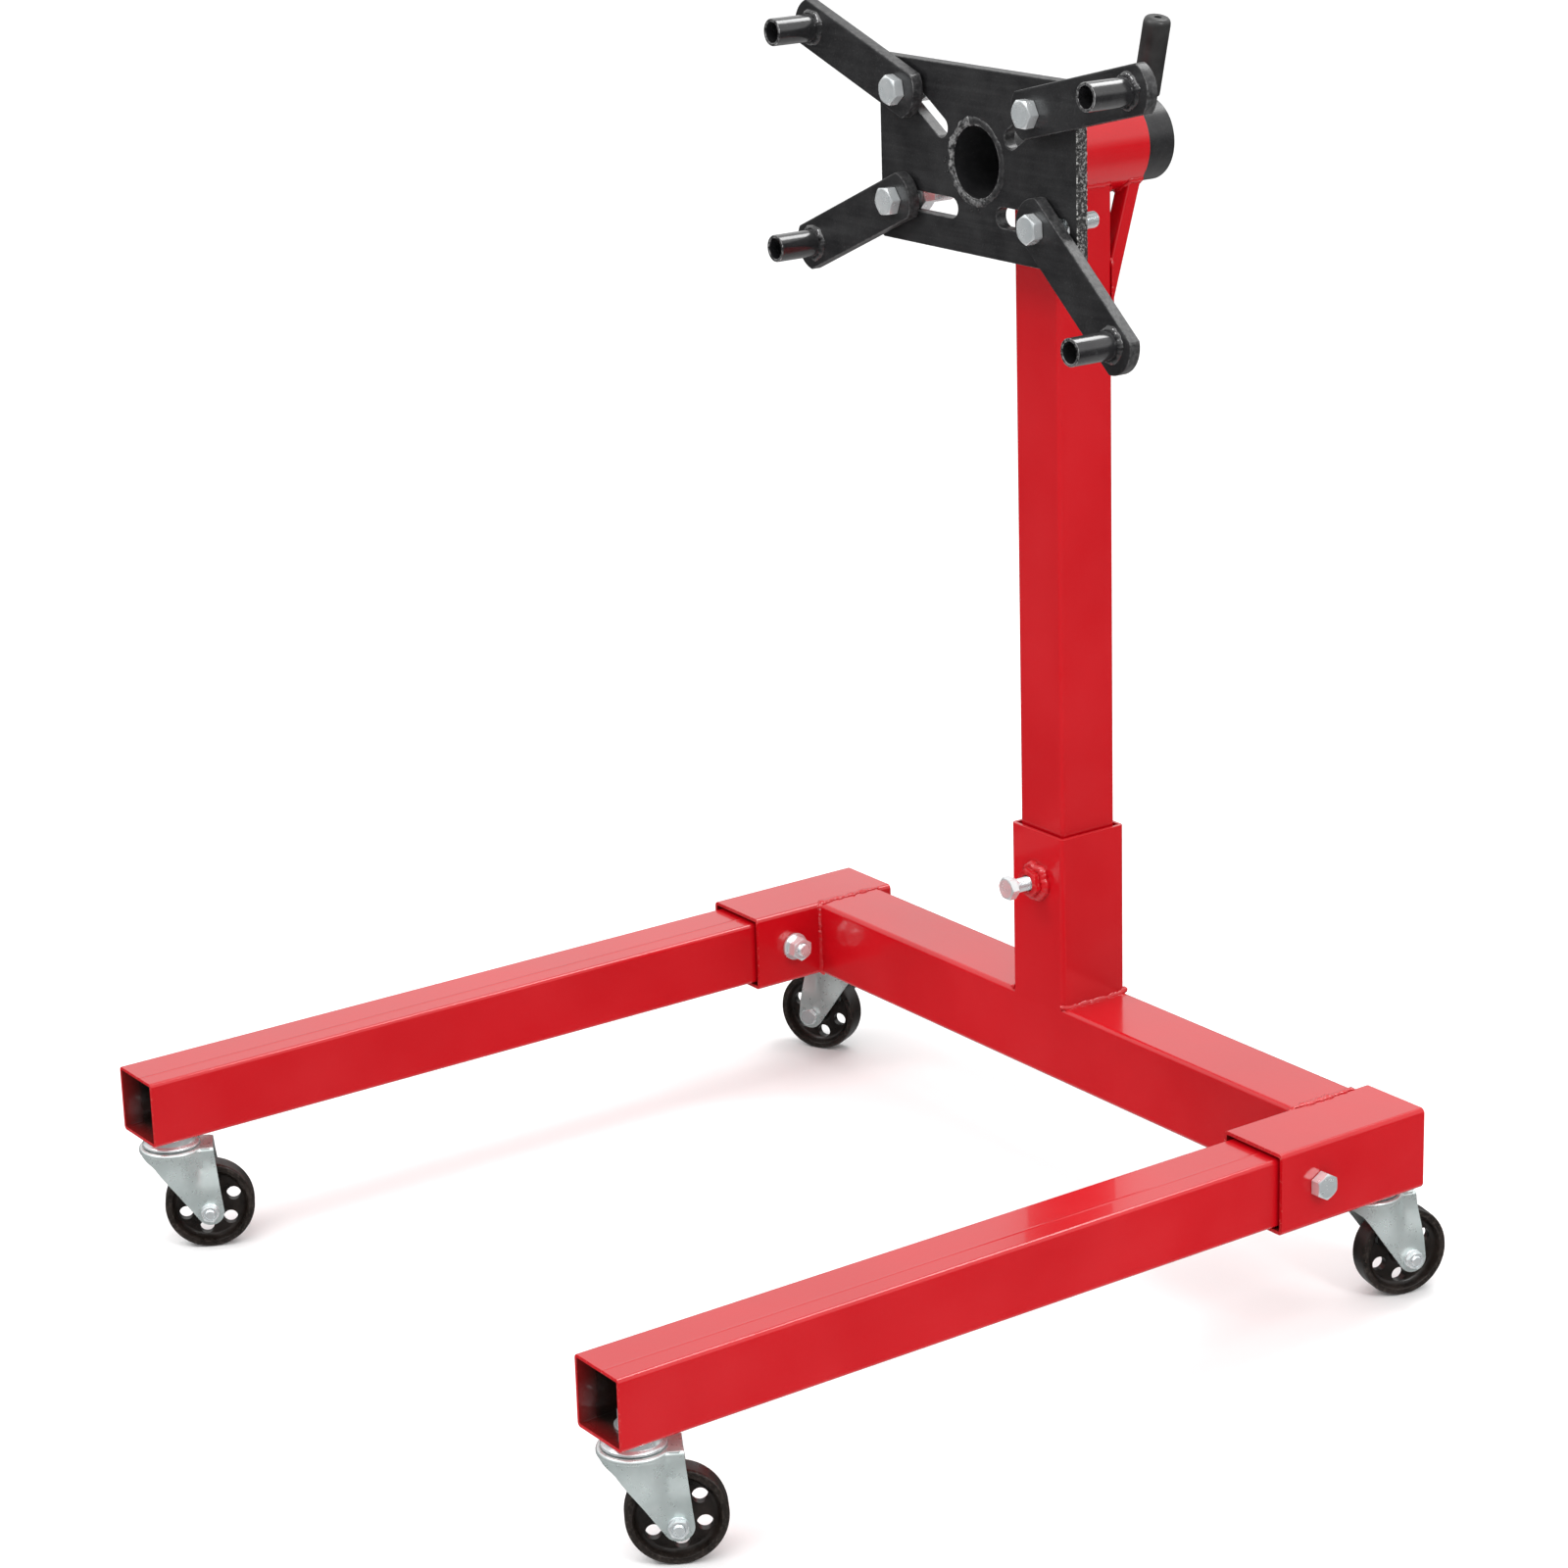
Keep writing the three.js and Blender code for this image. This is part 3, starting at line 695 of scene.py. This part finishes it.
g = square_tube(LEG, LEG_WALL, LEG_R, TOP_Z + 0.8, HEAD_Z - 23, sides=8, top=saddle)
xs = np.linspace(-24, 24, 26)
for y in (-1, 1):
    pts = [(x, y * (LEG / 2 + 0.5), HEAD_Z - math.sqrt(TUBE_R ** 2 - x * x) - 1.2) for x in xs]
    g = g + bead(pts, (0, y, -0.6), 5.0, 1.8, 41 + y, ripple=3.0, rough=0.25)
for x in (-1, 1):
    weld_z = HEAD_Z - math.sqrt(TUBE_R ** 2 - 25.6 ** 2) - 0.4
    pts = [(x * (LEG / 2 + 0.6), y, weld_z) for y in xs]
    g = g + bead(pts, (x, 0, -0.4), 4.0, 0.9, 43 + x, ripple=3.0, rough=0.15)
piece("upright_tube", "column", g, RED)

# drawn with z towards the front
TUBE_FRONT, TUBE_BACK, TUBE_BORE, LOCK_Y = 32.0, -52.7, 30.6, 39.0
tube = ring_tube(TUBE_R, TUBE_BORE, TUBE_BACK, TUBE_FRONT, 96, 0.7)
drill = lathe([(SCREW_HOLE, 20), (SCREW_HOLE, 50)], 32)
tube = bored(tube, drill.mapped(ALONG_NEG_X).moved(0, 0, -LOCK_Y))
piece("bearing_tube", "head_tube", tube.mapped(ALONG_NEG_Y).moved(z=HEAD_Z), RED)

g = hexagon(21, 33.5, 46, bore=6.4, low=False, cut=0.9, phase=0.2)
collar = round_path(60, 12.4, 0)
collar[:, 2] = np.sqrt(TUBE_R ** 2 - collar[:, 0] ** 2) + 0.5
ring = bead(collar, (0, 0, 1), 6.4, 2.8, 8, closed=True, ripple=3.0, rough=0.35)
g = g + ring.mapped([[0, 1, 0], [-1, 0, 0], [0, 0, 1]])
piece("lock_boss", "head_lock_nut", g.mapped(ALONG_NEG_X).moved(0, LOCK_Y, HEAD_Z), RED)
g = hexagon(19, 60, 68, low=False, phase=0.1) + threaded(5.9, 30.5, 61, tip=0.3)
g = g.mapped(ALONG_NEG_X).moved(0, LOCK_Y, HEAD_Z)
piece("lock_screw_bolt", "head_lock_bolt", g, ZINC)

# two square struts under the back of the bearing tube, flush with the sides of the upright
STRUT_W, STRUT_T, STRUT_SLOPE, STRUT_FOOT = 14.0, 11.0, 0.302, 667.0
lean = math.atan(STRUT_SLOPE)
d = np.array([0, math.sin(lean), math.cos(lean)])
across = np.array([0, math.cos(lean), -math.sin(lean)])
back_low = np.array([0, LEG / 2, STRUT_FOOT])
for side, s in (("left", -1), ("right", 1)):
    section = square_ring(STRUT_W, 2.0, 4, 4) * [1, STRUT_T / STRUT_W]
    cx = s * (LEG / 2 - 0.3 - STRUT_W / 2)
    rings = []
    for level in (0.0, 0.03, 0.5, 0.97, 1.0):
        pts = []
        for px, py in section:
            o = back_low + across * (py - STRUT_T / 2) + [cx + px, 0, 0]
            foot = (LEG / 2 - 0.3 - o[1]) / d[1]
            top = (HEAD_Z - math.sqrt((TUBE_R - 0.3) ** 2 - o[0] ** 2) - o[2]) / d[2]
            pts.append(o + d * (foot + (top - foot) * level))
        rings.append(np.array(pts))
    g = loft(rings)
    for r, lift, seed in ((rings[0], (0, 0.7, 0.1), 51), (rings[-1], (0, 0, -0.8), 53)):
        c = r.mean(0)
        away = (r - c) / np.linalg.norm(r - c, axis=1)[:, None]
        lift = np.array(lift)
        g = g + bead(r + away * 0.5 + lift * 0.6, away + lift, 3.6, 1.3, seed + s,
                     closed=True, ripple=2.4, rough=0.2)
    piece("strut_" + side, side + "_brace", g, RED)

# ---------------------------------------------------------------- turning head
# drawn with z towards the front
PLATE_FACE, PLATE_T = 77.5, 9.5
SHAFT_R, SHAFT_BORE, SHAFT_BACK = 30, 25.5, -79.5
shaft = ring_tube(SHAFT_R, SHAFT_BORE, SHAFT_BACK, PLATE_FACE, 96, 0.8)
piece("head_spindle", "head_shaft", shaft.mapped(ALONG_NEG_Y).moved(z=HEAD_Z), BLACK)


def rough_loop(points, size, seed, most):
    """Points set closer together along a closed loop and pushed in a little.

    They are pushed by up to about size where most(point) is true, and by a fifth of it elsewhere.
    """
    step, elsewhere = 1.5, 0.2
    p = np.asarray(points, float)
    out = []
    for k in range(len(p)):
        q0, q1 = p[k], p[(k + 1) % len(p)]
        n = max(1, int(np.linalg.norm(q1 - q0) / step))
        e = (q1 - q0) / max(np.linalg.norm(q1 - q0), 1e-9)
        for i in range(n):
            q = q0 + (q1 - q0) * i / n
            w = size if most(q) else size * elsewhere
            coarse = noise.noise(Vector((q[0] * 0.45, q[1] * 0.45, seed)))
            fine = noise.noise(Vector((q[0] * 1.3, q[1] * 1.3, seed + 9)))
            if i:
                q = q + np.array([-e[1], e[0]]) * abs(coarse + 0.7 * fine) * w
            out.append(tuple(q))
    return out


def slot_loop(x0, y0, x1, y1, w):
    """Round-ended slot of width w between the centres of its ends, clockwise."""
    quarter = math.pi / 2
    t = math.atan2(y1 - y0, x1 - x0)
    p = arc(x1, y1, w / 2, t - quarter, t + quarter, 14)
    p += arc(x0, y0, w / 2, t + quarter, t + 1.5 * math.pi, 14)
    return p[::-1]


PLATE_W, PLATE_H, CORNER, SLOT_W = 222.0, 132.0, 2.2, 14.5
SLOTS = ((-88, 52, -39.5, 20.5), (-95, -35.3, -29, -35.3), (29, -35.3, 95, -35.3), (39.5, 20.5, 88, 52))
edge = []
for k, (sx, sy) in enumerate(((1, 1), (-1, 1), (-1, -1), (1, -1))):
    edge += arc(sx * (PLATE_W / 2 - CORNER), sy * (PLATE_H / 2 - CORNER), CORNER,
                k * math.pi / 2, (k + 1) * math.pi / 2, 4)
loops = [rough_loop(edge, 0.5, 3, lambda q: q[0] > PLATE_W / 2 - 3), hole(0, 0, 29.0, 72)]
loops += [slot_loop(*ends, SLOT_W) for ends in SLOTS]
g = slab(loops, PLATE_FACE - PLATE_T, PLATE_FACE, 0.8, 0.3)
g.wear = np.where(g.v[:, 0] > PLATE_W / 2 - 2.5, g.wear * 3, g.wear)
# a low weld ring round the shaft, with three heavier runs on it, and a bead at the back. The runs' wear paints pale
# glints on them, most on the left: a painted highlight.
g = g + bead(round_path(90, 29.1, PLATE_FACE), (0, 0, 1), 4.4, 0.7, 61,
             closed=True, ripple=3.4, rough=0.35, worn=0.05)
# columns: from and to angle, radius, width, height, seed, and wear, which paints a painted highlight of glints
RUNS_WITH_PAINTED_GLINTS = ((100, 205, 28.5, 4.8, 1.2, 65, 0.65), (212, 292, 28.6, 4.4, 1.1, 66, 0.35),
        (300, 345, 28.8, 3.8, 0.8, 67, 0.1))
# worn paints the runs' glints, a painted highlight
for a0, a1, r, w, tall, seed, worn in RUNS_WITH_PAINTED_GLINTS:
    q = np.radians(np.linspace(a0, a1, 40))
    path = np.stack([r * np.cos(q), r * np.sin(q), np.full(40, PLATE_FACE + 0.2)], 1)
    g = g + bead(path, (0, 0, 1), w, tall, seed, ripple=2.7, rough=0.45, worn=worn)
g = g + bead(round_path(90, 30.5, PLATE_FACE - PLATE_T - 0.3), round_path(90, 1.0, -1.0), 3.8, 1.7, 63,
             closed=True, ripple=3.2, rough=0.2)
rnd = random.Random(4)
for _ in range(18):  # spatter beside the bead, clear of the washers
    t = math.radians(rnd.choice((190, 270)) + rnd.uniform(-11, 11))
    r = rnd.uniform(32.5, 37.5)
    s = rnd.uniform(0.30, 0.75)
    ball = lathe([(s * math.cos(q), s * math.sin(q)) for q in np.linspace(-1.5, 1.5, 7)], 10)
    g = g + ball.moved(r * math.cos(t), r * math.sin(t), PLATE_FACE + 0.1 * s)
g = g.mapped(ALONG_NEG_Y).moved(z=HEAD_Z)
plate = piece("face_plate", "head_plate", g, BLACK)
# the right edge is torch cut
plate.data.materials.append(CUT)
x_edge = ORIGIN[0] + (PLATE_W / 2 - 1.3) * MM
for p in plate.data.polygons:
    if p.center.x > x_edge and abs(p.normal.y) < 0.98:
        p.material_index = 1

HANDLE_TILT, HANDLE_Y = 13.5, 71.0
handle = lambda g: g.turned("Y", HANDLE_TILT).moved(0, HANDLE_Y, HEAD_Z)
rod = lathe([(5.4, 20), (6, 20.6), (6, 85.4), (5.4, 86)], 40)
piece("handle_bar", "handle_rod", handle(rod), ZINC)
profile = [(6.3, 34), (9.2, 34), (9.8, 34.4), (10, 35.2), (10, 50), (9.95, 70), (10, 85.4),
           (9.8, 87.6), (9.2, 89.3), (8.2, 90.4), (7, 90.9), (5.8, 91), (3.4, 91), (2.8, 90.7),
           (2.6, 90.2), (2.6, 86.8), (6.3, 86.6)]
wear = [0, 0.6, 0.6, 0, 0, 0, 0, 0.4, 0.6, 0.4, 0.2, 0, 0, 0.4, 0, 0, 0]
piece("handle_sleeve", "handle_grip", handle(lathe(profile, 48, True, wear)), GRIP)

# ---------------------------------------------------------------- arms
ARM_T, ARM_W, ARM_REACH, ARM_END = 9.5, 34.0, 106.0, 21.0
ARM_BACK = PLATE_FACE + 2.5
ARM_FACE = ARM_BACK + ARM_T
reach = math.asin(ARM_W / 2 / ARM_END)
outline = arc(ARM_REACH, 0, ARM_END, -reach, reach, 18)
outline += arc(0, 0, ARM_END, math.pi - reach, math.pi + reach, 18)
STUB_R, STUB_BORE, STUB_LONG, ARM_HEX = 10, 7.6, 35, 19
ARMS = (("ul", -76.6, 44.6, 161.0), ("ll", -83.5, -35.3, 204.0),  # bolt x and z, angle
        ("lr", 78.5, -35.3, -40.5), ("ur", 74.4, 43.2, 13.7))
for k, (name, x, z, deg) in enumerate(ARMS):
    put = lambda g: g.mapped(ALONG_NEG_Y).moved(x, 0, z + HEAD_Z)
    loops = [outline, hole(0, 0, 6.5), hole(ARM_REACH, 0, STUB_BORE)]
    bar = slab(loops, ARM_BACK, ARM_FACE - 0.3, 0.9, 0.22).turned("Z", deg)
    piece("arm_bar_" + name, "arm_" + name, put(bar), BLACK)
    t = math.radians(deg)
    cx, cy = ARM_REACH * math.cos(t), ARM_REACH * math.sin(t)
    stub = ring_tube(STUB_R, STUB_BORE, ARM_FACE - 0.4, ARM_FACE + STUB_LONG, 64, 0.7, 0.8)
    stub = stub + bead(round_path(60, 11.3, ARM_FACE), round_path(60, 0.6, 1.0), 5.2, 1.7, 70 + k,
                       closed=True, ripple=2.4, rough=0.26)
    stub = put(stub.moved(cx, cy))
    piece("stub_" + name, "stub_tube_" + name, stub, BLACK_GLOSS)
    bolt = hexagon(ARM_HEX, ARM_FACE - 0.2, ARM_FACE + 7.8, low=False, phase=0.2 + 0.45 * k)
    bolt = bolt + threaded(5.9, -ARM_FACE, -35.0, plain=8, tip=1.6).mapped(BACKWARDS)
    piece("bolt_" + name, "arm_bolt_" + name, put(bolt), ZINC)
    washer = ring_tube(12, 6.4, PLATE_FACE + 0.3, PLATE_FACE + 2.2, 48, 0.4)
    piece("washer_" + name, "arm_washer_" + name, put(washer), BLACK)
    nut_face = PLATE_FACE - PLATE_T - 0.3
    nut = hexagon(ARM_HEX, nut_face - 10.5, nut_face, bore=5.6, phase=0.3 * k)
    piece("nut_" + name, "arm_nut_" + name, put(nut), ZINC)

# ---------------------------------------------------------------- casters
WHEEL_R, TRAIL, RACE_Z, CHEEK_OUT = 33.0, 25.0, 82.0, 20.0


def fork_side(s):
    """One cheek of the fork: follows the round crown at the top and runs flat down to the axle."""
    ty, tz, tr = TRAIL + 0.5, WHEEL_R - 0.5, 10.0  # round tip: y, z and radius
    cols, thick = 18, 2.5
    tip = tz - tr * np.sin(np.radians(np.linspace(3, 84, 14)))
    rings = []
    for z in np.r_[81.4, 81.2, 80.6, 79.6, 78.4, np.linspace(77, 33, 26), tip]:
        bulge = math.sqrt(max(tr * tr - (tz - z) ** 2, 0.3))
        front = ty - bulge
        if z > 26.7:
            front = np.interp(z, [26.7, 71, 74.5, 77], [17.3, -13.6, -19.0, -21.6])
        rear = np.interp(z, [tz, 70, 81.4], [ty + tr, 31.4, 30.4]) if z > tz else ty + bulge
        y = front + (rear - front) * np.linspace(0, 1, cols)
        round_part = np.sqrt(np.clip(24.0 ** 2 - np.minimum(y, 19.5) ** 2, 10.4 ** 2, None))
        k = np.clip((z - 44) / 32.0, 0, 1)
        k = k * k * (3 - 2 * k)
        x = CHEEK_OUT + (round_part - CHEEK_OUT) * k
        if z > 78.4:
            x = x - (3 - math.sqrt(max(9 - (z - 78.4) ** 2, 0)))
        outer = np.stack([s * x, y, np.full(cols, z)], 1)
        inner = np.stack([s * (x - thick), y, np.full(cols, z)], 1)[::-1]
        rings.append(np.vstack([outer, inner]))
    if s > 0:
        rings = rings[::-1]
    return loft(rings)


def crown():
    """Top of the fork: the pressed ring round the race, and the flat tail over the wheel."""
    p = [(7.6, 78.2), (19.6, 78.2), (21.4, 77.2), (22.6, 76.6), (23.5, 77.0), (24.0, 78.0), (24.0, 79.6),
         (23.6, 80.8), (22.8, 81.5), (21.8, 81.7), (20.9, 81.4), (20.0, 80.7), (18.8, 80.4), (7.6, 80.4)]
    ring = lathe(p, 72, True, [0, 0, 0, 0, 0, 0, 0.2, 0.6, 0.8, 0.8, 0.5, 0, 0, 0])
    outline = [(-11.4, -2), (11.4, -2), (13.5, 20), (13.5, 27.6), (11.2, 30.4), (-11.2, 30.4),
               (-13.5, 27.6), (-13.5, 20)]
    return ring + slab([outline], 78.0, 81.5, 0.9, 0.8)


# hub, web and rim on one side of the wheel's middle plane, from the bore outwards
half = [(4.5, 16.7), (7.4, 16.7), (7.8, 16.3), (8.0, 11.0), (9.0, 10.4), (9.4, 5.0), (10.2, 3.6),
        (12, 3.1), (23.6, 2.9), (25.4, 3.6), (26.8, 5.6), (27.6, 8.0), (28.4, 8.8), (30.8, 9.0),
        (32.2, 8.5), (32.8, 7.4), (WHEEL_R, 5.8)]
wheel = lathe([(r, -z) for r, z in half] + half[::-1], 96, True)
for i in range(6):
    t = i / 6 * TURN + 0.35
    wheel = bored(wheel, lathe([(5.3, -8), (5.3, 8)], 32).moved(19.0 * math.cos(t), 19.0 * math.sin(t)))
r_at = np.hypot(wheel.v[:, 0], wheel.v[:, 1])
wheel.wear = np.where((r_at > 30) & (np.abs(wheel.v[:, 2]) > 7), 1.0, 0) + np.where((r_at > 27.5) & (r_at < 29), 0.7, 0)

fork = fork_side(1) + fork_side(-1) + crown()

LEG_UNDER, SLEEVE_UNDER = MID_Z - LEG / 2, MID_Z - SLEEVE / 2
CASTERS = (  # x, y, swivel angle, top of the race, how far the wheel has rolled
    ("fr", SPREAD, -603, 31, LEG_UNDER, 18), ("fl", -SPREAD, -603, 28, LEG_UNDER, 0),
    ("rr", SPREAD, 18, 15, SLEEVE_UNDER, 5), ("rl", -SPREAD, 18, 243, SLEEVE_UNDER, 0))
for name, x, y, deg, top, rolled in CASTERS:
    put = lambda g: g.turned("Z", -deg).moved(x, y, 0)
    on_axle = lambda g: put(g.mapped(ALONG_X).moved(0, TRAIL, WHEEL_R))
    p = [(3, RACE_Z), (18, RACE_Z), (20.4, RACE_Z + 0.1), (21.1, RACE_Z + 0.7), (21.2, RACE_Z + 1.5),
         (20.9, RACE_Z + 2.3), (19.9, RACE_Z + 3.0), (19.1, RACE_Z + 3.9), (18.9, top - 0.5),
         (18.5, top - 0.05), (3, top - 0.05)]
    race = lathe(p, 72, False, [0, 0, 0.4, 0.8, 0.8, 0.4, 0, 0, 0.3, 0, 0])
    neck = lathe([(8.6, 69), (9.8, 69.4), (10, 70.4), (9.7, 71.5), (6.8, 72), (6.8, RACE_Z + 0.5)], 40)
    stem = threaded(5.5, RACE_Z + 1, top + 14, 1.5)
    stem_nut = hexagon(19, top + 4.6, top + 13, bore=5.2, phase=math.pi / 6)
    stem_washer = ring_tube(12, 5.4, top + 2.6, top + 4.4, 40, 0.3)
    g = race + neck + stem + (stem_nut + stem_washer)
    piece("race_" + name, "caster_race_" + name, put(g), ZINC)
    piece("fork_" + name, "caster_fork_" + name, put(fork), STAMPED, bevel=0.5)
    g = on_axle(wheel.turned("Z", rolled))
    piece("wheel_" + name, "caster_wheel_" + name, g, WHEEL)
    axle = hexagon(12, -25.3, -20.3, high=False, phase=0.2)
    axle = axle + threaded(4, -21, 26.8, 1.25, plain=41, segs=24, tip=1.0)
    flange = [(3.7, 20.05), (6.6, 20.05), (6.9, 20.4), (6.8, 20.9), (5.6, 21.6), (3.7, 21.6)]
    axle = axle + hexagon(11.5, 21.5, 25.6, bore=3.7, low=False, phase=0.3) + lathe(flange, 48, True)
    piece("axle_" + name, "caster_axle_" + name, on_axle(axle), ZINC)

# ---------------------------------------------------------------- stage, light, camera
scene = bpy.context.scene
F = 30  # half the side of the floor, in metres
floor = raw_object("floor", Geo([(-F, -F, 0), (F, -F, 0), (F, F, 0), (-F, F, 0)], [(0, 1, 2, 3)]))
m, t, at = start("studio_floor")
cloud = noise_of(t, at, 2.0, 2.0)
end(m, t, Base_Color=ramp(t, cloud, (0.3, grey(0.90)), (0.7, grey(0.915))), Roughness=0.9)
floor.data.materials.append(m)
floor.visible_glossy = False

world = bpy.data.worlds.new("studio")
scene.world = world
world.use_nodes = True
t = world.node_tree
t.nodes.clear()
direction = node(t, "ShaderNodeTexCoord").outputs["Generated"]
up = node(t, "ShaderNodeSeparateXYZ", {0: direction}).outputs["Z"]
i = {"Value": up, "From Min": -1.0, "From Max": 1.0}
height = node(t, "ShaderNodeMapRange", i).outputs["Result"]
# bright from above, dark just under the horizon, a little light from underneath
sky = ramp(t, height, (0.0, grey(0.50)), (0.18, grey(0.40)), (0.29, grey(0.07)),
           (0.49, grey(0.07)), (0.57, grey(0.45)), (0.63, grey(0.92)), (1.0, grey(0.80)))
back = node(t, "ShaderNodeBackground", {"Color": sky, "Strength": 1.1})
node(t, "ShaderNodeOutputWorld", {"Surface": back.outputs[0]})


def shine(name, light, towards):
    """Puts a light in the scene, shining along towards."""
    o = bpy.data.objects.new(name, light)
    o.rotation_euler = towards.to_track_quat("-Z", "Y").to_euler()
    scene.collection.objects.link(o)
    return o


middle = (CAD_BOX[0] + CAD_BOX[1]) / 2
for name, at, size, power in (("key_softbox", (-0.9, -2.6, 2.9), 0.9, 36),
                              ("side_softbox", (3.0, 0.2, 2.2), 0.8, 32),
                              ("top_softbox", (-0.15, 1.5, 2.8), 1.1, 24)):
    d = bpy.data.lights.new(name, "AREA")
    d.shape, d.size, d.size_y, d.energy = "RECTANGLE", size, size, power
    shine(name, d, middle - Vector(at)).location = at
sun = bpy.data.lights.new("overhead", "SUN")
sun.energy, sun.angle = 1.1, math.radians(50)
shine("overhead", sun, Vector((-0.35, 0.45, -1.0)))

cam = bpy.data.cameras.new("camera")
cam.lens, cam.sensor_width = 93.87, 36.0
camera = bpy.data.objects.new("camera", cam)
scene.collection.objects.link(camera)
azimuth, elevation, roll = math.radians(55.03), math.radians(17.76), math.radians(-1.73)
distance = 2.880
target = Vector(ORIGIN) + Vector((5.33, -260.8, 366.4)) * MM
back = Vector((math.sin(azimuth) * math.cos(elevation), -math.cos(azimuth) * math.cos(elevation),
               math.sin(elevation)))
level_right = Vector((math.cos(azimuth), math.sin(azimuth), 0))
level_up = back.cross(level_right)
right = level_right * math.cos(roll) + level_up * math.sin(roll)
up = level_up * math.cos(roll) - level_right * math.sin(roll)
axes = Matrix((right, up, back)).transposed().to_4x4()
camera.matrix_world = Matrix.Translation(target + back * distance) @ axes
cam.clip_start, cam.clip_end = 0.05, 100
scene.camera = camera
scene.view_settings.view_transform = "Standard"
